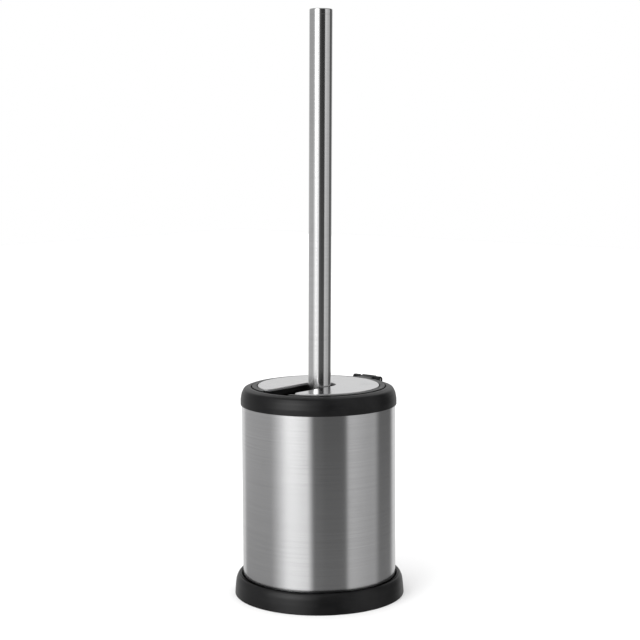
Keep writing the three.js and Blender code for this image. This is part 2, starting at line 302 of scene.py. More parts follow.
@dataclass(frozen=True)
class BrushedSteel:
    """Stainless steel brushed in one direction, with faint smudges."""

    name: str
    grain: Grain
    colour: tuple[float, float, float] = (0.63, 0.63, 0.635)
    line_colour: tuple[float, float, float] = (0.50, 0.50, 0.505)
    edge_roughness: float = 0.22
    roughness: float = 0.22
    line_width: float = 0.14 * MM
    line_length: float = 70 * MM
    line_depth: float = 0.0010 * MM
    anisotropy: float = 0.85

    def _lengths(self, width: float, length: float) -> tuple[float, float, float]:
        """Feature lengths of a line this wide and this long, in the grain's direction."""
        return (length, length, width) if self.grain is Grain.AROUND else (length, width, length)

    def material(self) -> bpy.types.Material:
        """Builds the material.

        Lines are noise stretched along the grain, in a coarse and a fine set. They shift the colour,
        the roughness and the normal. Smudges are slow noise that dulls the metal a little. On flat
        sheet the upright faces are its cut edges, which are rougher.

        Returns:
            The material.
        """
        material, graph = new_material(self.name)
        fine = graph.noise(self._lengths(self.line_width, self.line_length), detail=2.0, roughness=0.6)
        broad = self._lengths(self.line_width * 5, self.line_length * 3)
        coarse = graph.noise(broad, detail=3.0, roughness=0.6)
        lines = fine * 0.85 + coarse * 0.15
        smudges = graph.noise((17 * MM, 17 * MM, 21 * MM), detail=4.0, roughness=0.6).ease(0.52, 0.80)
        roughness = self.roughness + (lines - 0.5) * 0.10 + smudges * 0.02
        if self.grain is Grain.ACROSS:
            normal = graph.out(graph.add("ShaderNodeNewGeometry"), "True Normal")
            rise = graph.out(graph.add("ShaderNodeSeparateXYZ", inputs={0: normal}), "Z")
            upright = 1 - rise.size().ease(0.2, 0.8)
            roughness = roughness + upright * (self.edge_roughness - self.roughness)
        darker = lines.ease(0.30, 0.75) * 0.7 + smudges * 0.2
        principled(graph, {
            "Base Color": graph.blend(darker, self.colour, self.line_colour),
            "Metallic": 1.0,
            "Roughness": roughness,
            "Normal": graph.bump(lines, self.line_depth),
            "Anisotropic": self.anisotropy if self.grain is Grain.AROUND else 0.0,
            "Anisotropic Rotation": 0.25,
        })
        return material


@dataclass(frozen=True)
class PlainSteel:
    """Zinc-plated steel of screws, pin and stud."""

    name: str

    def material(self) -> bpy.types.Material:
        """Builds the material: bright metal with cloudy plating and small pits.

        Returns:
            The material.
        """
        material, graph = new_material(self.name)
        clouds = graph.noise((1.4 * MM,) * 3, detail=4.0)
        pits = graph.noise((0.3 * MM,) * 3, detail=2.0).ease(0.62, 0.75)
        principled(graph, {
            "Base Color": graph.blend(clouds, (0.46, 0.46, 0.45), (0.62, 0.62, 0.63)),
            "Metallic": 1.0,
            "Roughness": 0.28 + clouds * 0.16 + pits * 0.2,
            "Normal": graph.bump(pits * -1.0, 0.01 * MM),
        })
        return material


@dataclass(frozen=True)
class Rubber:
    """Soft black rubber with a dusty bloom."""

    name: str

    def material(self) -> bpy.types.Material:
        """Builds the material: matt black, greyer where dust has settled.

        Returns:
            The material.
        """
        material, graph = new_material(self.name)
        dust = graph.noise((2.5 * MM,) * 3, detail=5.0, roughness=0.7).ease(0.45, 0.75)
        pores = graph.noise((0.25 * MM,) * 3, detail=2.0)
        principled(graph, {
            "Base Color": graph.blend(dust, (0.012, 0.012, 0.012), (0.045, 0.044, 0.042)),
            "Roughness": 0.72 + dust * 0.15,
            "Normal": graph.bump(pores, 0.03 * MM),
        })
        return material


@dataclass(frozen=True)
class Nylon:
    """Off-white nylon strands, some a little yellower than others."""

    name: str

    def material(self) -> bpy.types.Material:
        """Builds the material: each strand's own shade comes from its attribute, and noise clouds it.

        Returns:
            The material.
        """
        material, graph = new_material(self.name)
        shade = graph.out(graph.add("ShaderNodeAttribute", {"attribute_name": "strand_shade"}), "Fac")
        clouds = graph.noise((6 * MM,) * 3, detail=3.0)
        tone = shade * 0.65 + clouds * 0.35
        principled(graph, {
            "Base Color": graph.blend(tone, (0.60, 0.59, 0.55), (0.84, 0.84, 0.81)),
            "Roughness": 0.34 + clouds * 0.14,
        })
        return material


# ---------------------------------------------------------------- surfaces


@dataclass
class Shell:
    """A closed surface.

    Attributes:
        points: vertex positions, one row each.
        quads: vertex numbers of the four-sided faces, one row each.
        caps: vertex numbers of the other faces, one array each.
    """

    points: np.ndarray
    quads: np.ndarray
    caps: list[np.ndarray] = field(default_factory=list)

    def moved(self, matrix: Matrix) -> "Shell":
        """The shell after a rigid move."""
        turn = np.array(matrix.to_3x3())
        shift = np.array(matrix.translation)
        return Shell(self.points @ turn.T + shift, self.quads, self.caps)

    def volume(self) -> float:
        """Six times the enclosed volume, which is positive where the faces point outwards.

        Each quad is taken as two triangles and each cap as a fan. The volume is the sum of the triple
        products of their corners.
        """
        fans = [np.stack([np.full(len(c) - 2, c[0]), c[1:-1], c[2:]], 1) for c in self.caps]
        halves = [self.quads[:, [0, 1, 2]], self.quads[:, [0, 2, 3]], *fans]
        a, b, c = (self.points[np.concatenate(halves)[:, i]] for i in range(3))
        return float((a * np.cross(b, c)).sum())

    def outward(self) -> "Shell":
        """The same shell with its faces pointing outwards."""
        if self.volume() >= 0:
            return self
        return Shell(self.points, self.quads[:, ::-1], [cap[::-1] for cap in self.caps])


def joined(shells: Sequence[Shell]) -> Shell:
    """Several shells as one, each kept closed."""
    starts = np.cumsum([0] + [len(s.points) for s in shells])
    quads = np.concatenate([s.quads + start for s, start in zip(shells, starts)])
    caps = [cap + start for s, start in zip(shells, starts) for cap in s.caps]
    return Shell(np.concatenate([s.points for s in shells]), quads, caps)


def grid_quads(rows: int, columns: int, wrap_rows: bool, wrap_columns: bool) -> np.ndarray:
    """Faces between neighbours of a grid of points, whose numbers run along each row."""
    row = np.arange(rows if wrap_rows else rows - 1)[:, None]
    column = np.arange(columns if wrap_columns else columns - 1)[None, :]
    next_row, next_column = (row + 1) % rows, (column + 1) % columns
    corners = [row * columns + column, row * columns + next_column,
               next_row * columns + next_column, next_row * columns + column]
    return np.stack([c.ravel() for c in corners], 1)


def arc(centre: Sequence[float], radius: float, start: float, stop: float, steps: int) -> np.ndarray:
    """Points of a circular arc from the angle start to stop, in radians, both ends included."""
    angles = np.linspace(start, stop, steps + 1)
    return np.array(centre) + radius * np.stack([np.cos(angles), np.sin(angles)], 1)


def rounded(corners: Sequence[tuple[float, float, float]], closed: bool = False) -> np.ndarray:
    """A polyline with rounded corners.

    A corner of radius r between edges that meet at the angle t is an arc whose ends lie r / tan(t / 2)
    back along the edges, and whose centre lies r / sin(t / 2) out along the line that halves the corner.
    One more point sits just before and one just after each arc, so that the flats stay flat.

    Args:
        corners: (x, y, radius) of each corner, in millimetres.
        closed: whether the last corner joins the first.

    Returns:
        The points, in metres.
    """
    spots = np.array([c[:2] for c in corners]) * MM
    radii = np.array([c[2] for c in corners]) * MM
    parts = []
    for i, (spot, radius) in enumerate(zip(spots, radii)):
        ends = not closed and i in (0, len(spots) - 1)
        if ends or radius == 0:
            parts.append(spot[None])
            continue
        back, ahead = spots[i - 1] - spot, spots[(i + 1) % len(spots)] - spot
        back_length, ahead_length = np.linalg.norm(back), np.linalg.norm(ahead)
        back, ahead = back / back_length, ahead / ahead_length
        half = math.acos(float(np.clip(back @ ahead, -1, 1))) / 2
        reach = radius / math.tan(half)
        centre = spot + (back + ahead) / np.linalg.norm(back + ahead) * radius / math.sin(half)
        first, last = spot + back * reach - centre, spot + ahead * reach - centre
        sweep = math.atan2(first[0] * last[1] - first[1] * last[0], float(first @ last))
        start = math.atan2(first[1], first[0])
        steps = int(np.clip(round(2 + 4 * math.sqrt(radius / MM)), 2, 8))
        bend = arc(centre, radius, start, start + sweep, steps)
        before = spot + back * min(reach + SUPPORT, (reach + back_length) / 2)
        after = spot + ahead * min(reach + SUPPORT, (reach + ahead_length) / 2)
        parts.append(np.concatenate([before[None], bend, after[None]]))
    return np.concatenate(parts)


def turned(profile: np.ndarray, steps: int = TURN_STEPS) -> Shell:
    """A profile of (radius, height) turned about the Z axis.

    Point (i, j) of the grid is (r_i cos a_j, r_i sin a_j, z_i) with a_j equally spaced round the circle.
    A profile that starts and ends on the axis is closed by a cap at each end, beside the axis. Any other
    profile closes on itself.
    """
    on_axis = profile[0, 0] < 1e-9 and profile[-1, 0] < 1e-9
    rows = profile.copy()
    if on_axis:
        rows[0] += (rows[1] - rows[0]) * 0.5
        rows[-1] += (rows[-2] - rows[-1]) * 0.5
    angles = np.arange(steps) * (2 * np.pi / steps)
    round_about = np.stack([np.cos(angles), np.sin(angles)], 1)
    flat = rows[:, None, :1] * round_about[None]
    tall = np.broadcast_to(rows[:, None, 1:], (*flat.shape[:2], 1))
    points = np.concatenate([flat, tall], 2).reshape(-1, 3)
    quads = grid_quads(len(rows), steps, not on_axis, True)
    last = len(rows) - 1
    caps = [np.arange(steps), last * steps + np.arange(steps)[::-1]] if on_axis else []
    return oriented(Shell(points, quads, caps))


def oriented(shell: Shell) -> Shell:
    """The shell with each cap running against its neighbour quads, and all faces pointing outwards."""
    if shell.caps:
        shell = Shell(shell.points, shell.quads, [cap[::-1] for cap in shell.caps])
    return shell.outward()


def lofted(loops: np.ndarray) -> Shell:
    """Loops of equally many points joined one to the next, with a cap on the first and on the last.

    Args:
        loops: array of shape (loops, points, 3).

    Returns:
        The closed shell.
    """
    rows, columns = loops.shape[:2]
    quads = grid_quads(rows, columns, False, True)
    caps = [np.arange(columns), (rows - 1) * columns + np.arange(columns)[::-1]]
    return oriented(Shell(loops.reshape(-1, 3), quads, caps))


def plate(outline: Callable[[float], np.ndarray], section: np.ndarray) -> Shell:
    """An outline in X and Y carried through a section.

    Loop k is the outline moved inwards by the section's inset k, at its height k.

    Args:
        outline: gives the outline's points for an inset in metres.
        section: (inset, height) rows in metres, from one cap to the other.

    Returns:
        The closed shell.
    """
    flats = [outline(float(inset)) for inset, _ in section]
    loops = [np.column_stack([flat, np.full(len(flat), height)]) for flat, (_, height) in zip(flats, section)]
    return lofted(np.stack(loops))


def shrunk(loop: np.ndarray, inset: float) -> np.ndarray:
    """A counter-clockwise outline with each point moved inwards, along the mean normal of its two edges."""
    edges = np.roll(loop, -1, 0) - loop
    normals = np.stack([-edges[:, 1], edges[:, 0]], 1) / np.linalg.norm(edges, axis=1)[:, None]
    mean = normals + np.roll(normals, 1, 0)
    return loop + mean / np.linalg.norm(mean, axis=1)[:, None] * inset


def bar_along_x(outline: np.ndarray, low: float, high: float, rounding: float) -> Shell:
    """An outline in Y and Z carried from x = low to x = high, with rounded end edges.

    Args:
        outline: counter-clockwise points, in metres.
        low: lowest X.
        high: highest X.
        rounding: radius of the end edges.

    Returns:
        The closed shell.
    """
    turns = np.linspace(0, np.pi / 2, 4)
    insets = np.concatenate([rounding * (1 - np.sin(turns)), rounding * (1 - np.cos(turns))])
    xs = np.concatenate([low + rounding * (1 - np.cos(turns)), high - rounding * (1 - np.sin(turns))])
    loops = [np.column_stack([np.full(len(outline), x), shrunk(outline, inset)])
             for inset, x in zip(insets, xs)]
    return lofted(np.stack(loops))


def to_object(shell: Shell, name: str) -> bpy.types.Object:
    """A smooth-shaded mesh object of shell, with sharp edges kept sharp.

    Args:
        shell: the surface.
        name: the object's name.

    Returns:
        The object, linked to the scene, at the origin.
    """
    mesh = bpy.data.meshes.new(name)
    mesh.from_pydata(shell.points.tolist(), [], shell.quads.tolist() + [cap.tolist() for cap in shell.caps])
    mesh.validate()
    made = bpy.data.objects.new(name, mesh)
    bpy.context.scene.collection.objects.link(made)
    smooth(made)
    return made


def smooth(made: bpy.types.Object) -> None:
    """Shades an object smoothly, apart from edges sharper than SMOOTH_ANGLE."""
    made.data.shade_smooth()
    made.data.set_sharp_from_angle(angle=SMOOTH_ANGLE)


def cut(made: bpy.types.Object, steps: Sequence[tuple[str, Shell]]) -> bpy.types.Object:
    """Joins shells to an object and cuts shells from it.

    Args:
        made: the object, whose mesh is replaced.
        steps: ("UNION" or "DIFFERENCE", shell) pairs, in order.

    Returns:
        The object.
    """
    tools = [to_object(shell, "tool") for _, shell in steps]
    for (operation, _), tool in zip(steps, tools):
        modifier = made.modifiers.new(operation, "BOOLEAN")
        modifier.operation = operation
        modifier.solver = "EXACT"
        modifier.object = tool
    evaluated = made.evaluated_get(bpy.context.evaluated_depsgraph_get())
    mesh = bpy.data.meshes.new_from_object(evaluated)
    made.modifiers.clear()
    made.data = mesh
    for tool in tools:
        bpy.data.objects.remove(tool)
    smooth(made)
    return made


def publish(made: bpy.types.Object, body: Body, nodes: Sequence[str], slot: Slot,
            material: bpy.types.Material) -> None:
    """Makes an object a piece of the model.

    Args:
        made: the object.
        body: what it rides on.
        nodes: CAD nodes that it stands for.
        slot: the record's slot for its finish; not used.
        material: its material.
    """
    made.data.materials.clear()
    made.data.materials.append(material)
    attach(made, body.value)
    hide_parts(*nodes)
    log.info("%s rides on %s, %d faces", made.name, body.value, len(made.data.polygons))


# ---------------------------------------------------------------- places from the frame


def low(node: str) -> Vector:
    """Lowest corner of a CAD node."""
    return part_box(node)[0]


def high(node: str) -> Vector:
    """Highest corner of a CAD node."""
    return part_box(node)[1]


def middle(node: str) -> Vector:
    """Middle of a CAD node's box."""
    return (low(node) + high(node)) / 2


def heights(node: str) -> tuple[float, float]:
    """Lowest and highest point of a CAD node, in millimetres."""
    return low(node).z / MM, high(node).z / MM


def radius_of(node: str) -> float:
    """Radius of a round CAD node, in millimetres."""
    return (high(node).x - low(node).x) / 2 / MM


def over(node: str) -> Matrix:
    """Level move from the Z axis to the middle of a CAD node."""
    spot = middle(node)
    return Matrix.Translation((spot.x, spot.y, 0))


def joint(name: str) -> dict:
    """A joint of the frame by name."""
    return next(j for j in frame["joints"] if j["name"] == name)


HINGE = Vector(joint("lid_hinge")["pos_m"])
BRUSH_AXIS = Vector(joint("brush_lift")["axis"]).normalized()


# ---------------------------------------------------------------- holder


@dataclass
class Tray:
    """Round foot of the holder, with its pads and screws. Sizes are in millimetres."""

    # the lip's top band gets painted sheen and wear
    wall: MouldedPlastic = MouldedPlastic("tray_plastic", sheen_and_wear_from=13.9 * MM, sheen_and_wear_to=14.8 * MM)
    rubber: Rubber = Rubber("pad_rubber")
    steel: PlainSteel = PlainSteel("screw_steel")
    slack: float = 0.2  # between the wall and the CAD tray's radius
    clearance: float = 0.04  # between the tray's edge and the floor
    gutter_radius: float = 55.9
    gutter_floor: float = 5.6
    inner_floor: float = 4.2
    pad_recess: float = 1.7
    screw_recess: float = 2.7

    def build(self) -> None:
        """Builds tray, pads and screws."""
        tray = to_object(turned(self._profile()), "tray")
        pads = [f"foot_pad_{i}" for i in range(1, 5)]
        screws = [f"base_screw_{i}" for i in range(1, 5)]
        pockets = [self._pocket(pad, self.pad_recess) for pad in pads]
        pockets += [self._pocket(screw, self.screw_recess) for screw in screws]
        cut(tray, [("DIFFERENCE", joined(pockets))])
        publish(tray, Body.HOLDER, ["base_tray"], Slot.BLACK_PLASTIC, self.wall.material())
        rubber, steel = self.rubber.material(), self.steel.material()
        for pad in pads:
            publish(to_object(self._pad(pad), f"rubber_{pad}"), Body.HOLDER, [pad], Slot.PAD_RUBBER, rubber)
        for screw in screws:
            publish(self._screw(screw), Body.HOLDER, [screw], Slot.PLAIN_STEEL, steel)

    def _profile(self) -> np.ndarray:
        """Outer wall that leans in and rolls over to the lip, then the gutter and the floor."""
        outer, bottom, lip = radius_of("base_tray") - self.slack, self.clearance, heights("base_tray")[1]
        return rounded([
            (0, bottom, 0),
            (outer, bottom, 0.3),
            (outer - 0.45, 6.0, 8),
            (outer - 1.1, 11.1, 9),
            (outer - 3.2, lip + 0.25, 1.9),
            (self.gutter_radius, lip - 0.25, 0.75),
            (self.gutter_radius, self.gutter_floor, 0.6),
            (52.8, self.gutter_floor, 0.3),
            (52.5, self.inner_floor, 0.3),
            (0, self.inner_floor, 0),
        ])

    @staticmethod
    def _pocket(node: str, top: float) -> Shell:
        """Round hole in the underside over a CAD node, up to top."""
        radius = radius_of(node) + 0.25
        corners = [(0, -2, 0), (radius, -2, 0), (radius, top, 0.15), (0, top, 0)]
        return turned(rounded(corners), SMALL_TURN_STEPS).moved(over(node))

    @staticmethod
    def _pad(node: str) -> Shell:
        """Rubber disc with three shallow grip rings in its foot."""
        radius, top = radius_of(node), high(node).z / MM
        corners = [(0, 0, 0)]
        groove = ((-0.25, 0), (-0.1, 0.2), (0.1, 0.2), (0.25, 0))
        for ring in (1.6, 3.0, 4.4):
            corners += [(ring + aside, up, 0.05) for aside, up in groove]
        corners += [(radius, 0, 0.35), (radius, top, 0.2), (0, top, 0)]
        return turned(rounded(corners), SMALL_TURN_STEPS).moved(over(node))

    @staticmethod
    def _screw(node: str) -> bpy.types.Object:
        """Pan-head screw with a cross recess, whose thread is a row of ridges."""
        (bottom, top), head = heights(node), radius_of(node)
        corners = [(0, bottom, 0), (head, bottom, 0.7), (head, bottom + 1.6, 0.15)]
        pitch = 0.8
        for z in np.arange(bottom + 2.2, top - 1.0, pitch):
            corners += [(1.15, float(z), 0.05), (1.5, float(z) + pitch / 2, 0.05)]
        corners += [(1.1, top - 0.8, 0.1), (0.2, top, 0.1), (0, top, 0)]
        shift = over(node)
        arms = []
        below, above = bottom - 1, bottom + 0.9
        for wide, deep in ((1.6, 0.4), (0.4, 1.6)):
            outline = np.array([(-deep, below), (deep, below), (deep, above), (-deep, above)])
            arms.append(bar_along_x(outline * MM, -wide * MM, wide * MM, 0.05 * MM).moved(shift))
        made = to_object(turned(rounded(corners), SMALL_TURN_STEPS).moved(shift), f"screw_{node[-1]}")
        return cut(made, [("DIFFERENCE", arm) for arm in arms])


@dataclass
class Sleeve:
    """Steel tube of the holder with the plastic ring in its foot. Sizes are in millimetres."""

    steel: BrushedSteel = BrushedSteel("sleeve_steel", Grain.AROUND)
    plastic: MouldedPlastic = MouldedPlastic("lower_ring_plastic", roughness=0.5)
    wall: float = 0.8
    ring_width: float = 7.1

    def build(self) -> None:
        """Builds the tube and the ring inside its foot."""
        radius, (bottom, top) = radius_of("outer_sleeve"), heights("outer_sleeve")
        inner = radius - self.wall
        profile = rounded([(inner, bottom, 0.1), (radius, bottom, 0.2),
                           (radius, top, 0.2), (inner, top, 0.1)], True)
        tube = to_object(turned(profile), "sleeve")
        publish(tube, Body.HOLDER, ["outer_sleeve"], Slot.BRUSHED_STEEL, self.steel.material())
        outer, (bottom, top) = radius_of("lower_ring"), heights("lower_ring")
        inner = outer - self.ring_width
        profile = rounded([(inner, bottom, 0.3), (outer, bottom, 0.3),
                           (outer, top, 0.6), (inner, top, 0.8)], True)
        ring = to_object(turned(profile), "foot_ring")
        publish(ring, Body.HOLDER, ["lower_ring"], Slot.DARK_PLASTIC, self.plastic.material())


@dataclass
class Collar:
    """Plastic ring on top of the sleeve, with the hinge lugs and the pin. Sizes are in millimetres."""

    # the crest's top band gets painted sheen and wear
    plastic: MouldedPlastic = MouldedPlastic("collar_plastic", sheen_and_wear_from=147.0 * MM, sheen_and_wear_to=147.9 * MM)
    steel: PlainSteel = PlainSteel("pin_steel")
    outer_radius: float = 54.8
    crest: float = 147.8
    overlap: float = 3.9  # how far the ring comes down outside the sleeve
    lug_radius: float = 2.2
    lug_inner: float = 6.9
    lug_outer: float = 12.4
    lug_rounding: float = 0.45
    pin_hole: float = 1.12
    mouth_radius: float = 47.2
    notch_depth: float = 2.8  # below the hinge axis

    def build(self) -> None:
        """Builds ring and pin."""
        ring = to_object(turned(self._profile()), "collar")
        centre, half = (self.lug_inner + self.lug_outer) / 2 * MM, (self.lug_outer - self.lug_inner) / 2 * MM
        lugs = [bar_along_x(self._lug(), side - half, side + half, self.lug_rounding * MM)
                for side in (-centre, centre)]
        cut(ring, [("UNION", lugs[0]), ("UNION", lugs[1]), ("DIFFERENCE", self._notch()),
                   ("DIFFERENCE", self.rod(self.pin_hole, 20))])
        publish(ring, Body.HOLDER, ["top_ring"], Slot.BLACK_PLASTIC, self.plastic.material())
        bottom, top = heights("hinge_pin")
        pin = to_object(self.rod((top - bottom) / 2, high("hinge_pin").x / MM), "pin")
        publish(pin, Body.HOLDER, ["hinge_pin"], Slot.PLAIN_STEEL, self.steel.material())

    def _profile(self) -> np.ndarray:
        """Closed section: near-upright side, rounded crest, mouth, ledge, and the groove for the sleeve."""
        outer, crest = self.outer_radius, self.crest
        edge = high("outer_sleeve").z / MM - self.overlap
        groove = radius_of("outer_sleeve")
        skirt = groove - 1.1
        foot = low("top_ring").z / MM
        return rounded([
            (groove + 0.12, edge, 0.1),
            (outer, edge, 0.12),
            (outer, 139.2, 6),
            (outer - 0.75, 143.3, 5),
            (outer - 2.35, 146.55, 2.6),
            (outer - 6.0, crest, 4.5),
            (self.mouth_radius + 0.4, crest, 0.3),
            (self.mouth_radius, crest - 0.5, 0.3),
            (self.mouth_radius, 141.2, 0.2),
            (44.5, 141.2, 0.3),
            (44.5, 138.4, 0.4),
            (skirt - 2, 137.4, 0.8),
            (skirt - 2, foot, 0.3),
            (skirt, foot, 0.3),
            (skirt, 139.5, 0.1),
            (groove + 0.12, 139.5, 0.1),
        ], True)

    def _lug(self) -> np.ndarray:
        """Side view of a lug: a round eye whose back runs down into the ring in a curve."""
        y, z = HINGE.y / MM, HINGE.z / MM
        eye = arc((y, z), self.lug_radius, 0, math.pi, 28)
        t = np.linspace(0, 1, 12)[:, None]
        start, bend, stop = np.array([54.0, 140.2]), np.array([y + self.lug_radius, 142.7]), eye[0]
        fillet = start * (1 - t) ** 2 + 2 * bend * t * (1 - t) + stop * t ** 2
        inside = [(y - self.lug_radius, z), (50.5, z - 0.6)]
        return np.concatenate([[(50.5, 140.2)], fillet[:-1], eye[:-1], inside]) * MM

    def _notch(self) -> Shell:
        """Block that opens the ring for the lid's tongue."""
        y, z = HINGE.y / MM, HINGE.z / MM - self.notch_depth
        outline = np.array([(y - 15, z), (y + 15, z), (y + 15, z + 10), (y - 15, z + 10)]) * MM
        return bar_along_x(outline, -self.lug_inner * MM, self.lug_inner * MM, 0.05 * MM)

    @staticmethod
    def rod(radius: float, half: float) -> Shell:
        """Round rod along the hinge axis, reaching half its length each way."""
        rod = turned(rounded([(0, -half, 0), (radius, -half, 0.15), (radius, half, 0.15), (0, half, 0)]), 32)
        return rod.moved(Matrix.Translation(HINGE) @ Matrix.Rotation(math.pi / 2, 4, "Y"))


@dataclass
class Cup:
    """Removable pot inside the sleeve. Sizes are in millimetres."""

    plastic: MouldedPlastic = MouldedPlastic("cup_plastic", colour=(0.007, 0.007, 0.0075), roughness=0.46)
    wall: float = 1.6
    seat_radius: float = 14.0

    def build(self) -> None:
        """Builds the pot: tapered wall, flange, rounded foot, floor and raised seat for the brush."""
        flange, (bottom, top) = radius_of("inner_cup"), heights("inner_cup")
        mouth, seat = 44.2, low("bristles").z / MM - 0.3
        profile = rounded([
            (0, bottom, 0),
            (42.2, bottom, 2.6),
            (mouth, top - 1.2, 0.3),
            (flange, top - 1.2, 0.25),
            (flange, top, 0.4),
            (mouth - self.wall, top, 0.5),
            (40.6, bottom + 2.0, 1.8),
            (self.seat_radius + 0.6, bottom + 2.0, 0.8),
            (self.seat_radius, seat, 0.8),
            (0, seat, 0),
        ])
        pot = to_object(turned(profile), "cup")
        publish(pot, Body.HOLDER, ["inner_cup"], Slot.DARK_PLASTIC, self.plastic.material())


# ---------------------------------------------------------------- lid


@dataclass
class Lid:
    """Slotted lid: plastic frame with a steel disc let into it. Sizes are in millimetres."""

    # the border's top band gets painted sheen and wear
    plastic: MouldedPlastic = MouldedPlastic("lid_plastic", sheen_and_wear_from=147.7 * MM, sheen_and_wear_to=148.3 * MM)
    steel: BrushedSteel = BrushedSteel("lid_steel", Grain.ACROSS, roughness=0.20, line_length=14 * MM,
                                       edge_roughness=0.62)
    frame_radius: float = 46.6
    frame_slot: float = 11.9  # half the slot's width
    slot_end: float = 0.8  # how far the centre of the slot's round end lies behind the middle
    border_inner: float = 43.25
    border_top: float = 148.25
    plate_slot: float = 11.6
    skirt: float = 1.9
    seat: float = 146.7
    web: float = 144.9
    barrel_radius: float = 1.75
    barrel_half: float = 6.4
    toe_angle: float = math.radians(41)
    toe_radius: float = 3.0
    rib_angles: tuple[float, ...] = (-40.0, 0.0, 45.0, 90.0, 135.0, 180.0, 220.0)

    def build(self) -> None:
        """Builds frame and disc."""
        under = to_object(self._web(), "lid_shell")
        parts = [self._border(), self._tongue(), *[self._rib(angle) for angle in self.rib_angles]]
        cut(under, [*[("UNION", part) for part in parts], ("DIFFERENCE", Collar.rod(1.25, 9))])
        publish(under, Body.LID, ["lid_frame"], Slot.BLACK_PLASTIC, self.plastic.material())
        disc = to_object(self._disc(), "lid_disc")
        publish(disc, Body.LID, ["lid_plate"], Slot.BRUSHED_STEEL, self.steel.material())

    def _outline(self, radius: float, half_slot: float, corner: float) -> Callable[[float], np.ndarray]:
        """Outline of a disc with a slot that has a round end near the axis and opens towards -Y.

        Args:
            radius: the disc's radius.
            half_slot: half the slot's width, which is also the radius of its round end.
            corner: rounding where the slot meets the rim.

        Returns:
            A function that gives the counter-clockwise outline for an inset in metres.
        """

        def outline(inset: float) -> np.ndarray:
            """Rim, corner, slot side and round end, each moved inwards by inset."""
            inset_mm = inset / MM
            rim, slot = radius - inset_mm, half_slot + inset_mm
            bend = max(corner - inset_mm, 0.02)
            x = slot + bend
            y = -math.sqrt((rim - bend) ** 2 - x ** 2)
            tangent = math.atan2(y, x)
            right = arc((x, y), bend, math.pi, 2 * math.pi + tangent, 8)
            around = arc((0, 0), rim, tangent, math.pi - tangent, 240)[1:-1]
            left = arc((-x, y), bend, math.pi - tangent, 2 * math.pi, 8)
            side = np.linspace(y, self.slot_end, 12)[1:-1]
            up = np.column_stack([np.full(len(side), -slot), side])
            end = arc((0, self.slot_end), slot, math.pi, 0, 48)
            down = np.column_stack([np.full(len(side), slot), side[::-1]])
            return np.concatenate([right, around, left, up, end, down]) * MM

        return outline

    def _disc(self) -> Shell:
        """Steel disc with softly rounded edges."""
        radius = radius_of("lid_plate") - 0.15
        bottom, top = heights("lid_plate")
        section = rounded([(0.9, bottom, 0), (0, bottom, 0.15), (0, top, 0.5), (0.9, top, 0)])
        return plate(self._outline(radius, self.plate_slot, 3.6), section)

    def _web(self) -> Shell:
        """Slotted plate under the disc, hollowed from below so that a skirt runs round it."""
        bottom = low("lid_frame").z / MM + 0.04
        section = rounded([
            (self.skirt + 0.9, self.web, 0),
            (self.skirt, self.web, 0.3),
            (self.skirt, bottom, 0.3),
            (0, bottom, 0.4),
            (0, self.seat, 0.15),
            (0.9, self.seat, 0),
        ])
        return plate(self._outline(self.frame_radius - 1.2, self.frame_slot + 0.03, 0.6), section)

    def _border(self) -> Shell:
        """Raised border of the frame, which stops at the slot.

        Its section is turned about Z, but each point starts and stops where its own circle meets the
        slot's side: the angle there is the arc cosine of half the slot over the radius.
        """
        bottom, top = low("lid_frame").z / MM, self.border_top
        inner, outer = self.border_inner, self.frame_radius
        section = rounded([(inner, bottom, 0.2), (outer, bottom, 0.4),
                           (outer, top, 0.4), (inner, top, 0.3)], True) / MM
        centre = section.mean(0)
        turn = np.linspace(0, 1, 260)
        loops = []
        steps = [(0.0, 0.93, 0.0), *[(float(t), 1.0, 0.12) for t in turn], (1.0, 0.93, 0.0)]
        for share, size, gap in steps:
            ring = centre + (section - centre) * size
            start = -np.arccos((self.frame_slot + gap) / ring[:, 0])
            angle = start + (np.pi - 2 * start) * share
            x, y = ring[:, 0] * np.cos(angle), ring[:, 0] * np.sin(angle)
            loops.append(np.column_stack([x, y, ring[:, 1]]))
        return lofted(np.stack(loops) * MM)

    def _tongue(self) -> Shell:
        """Hinge barrel with its stop toe, and the tongue that joins it to the frame."""
        y, z = HINGE.y / MM, HINGE.z / MM
        toe = self.toe_angle
        outline = np.concatenate([
            [(44.2, z - 2.0), (y - 1.2, z - 2.0)],
            arc((y, z), self.barrel_radius, -2.0, toe - 0.3, 20),
            arc((y, z), self.toe_radius, toe - 0.1, toe + 0.1, 3),
            arc((y, z), self.barrel_radius, toe + 0.3, 2.2, 14),
            [(y - 3.0, z + 1.2), (44.6, z + 1.25), (44.2, z + 1.0)],
        ]) * MM
        return bar_along_x(outline, -self.barrel_half * MM, self.barrel_half * MM, 0.25 * MM)

    def _rib(self, degrees: float) -> Shell:
        """Stiffening rib under the web, from the skirt round the slot's end out to the rim."""
        start, stop, thick = 13.6, 45.0, 0.55
        foot, root, wide = 143.7, 145.3, thick * 1.3
        outline = np.array([(-thick, foot), (thick, foot), (wide, root), (-wide, root)]) * MM
        rib = bar_along_x(outline, start * MM, stop * MM, 0.2 * MM)
        return rib.moved(Matrix.Rotation(math.radians(degrees), 4, "Z"))


# ---------------------------------------------------------------- brush


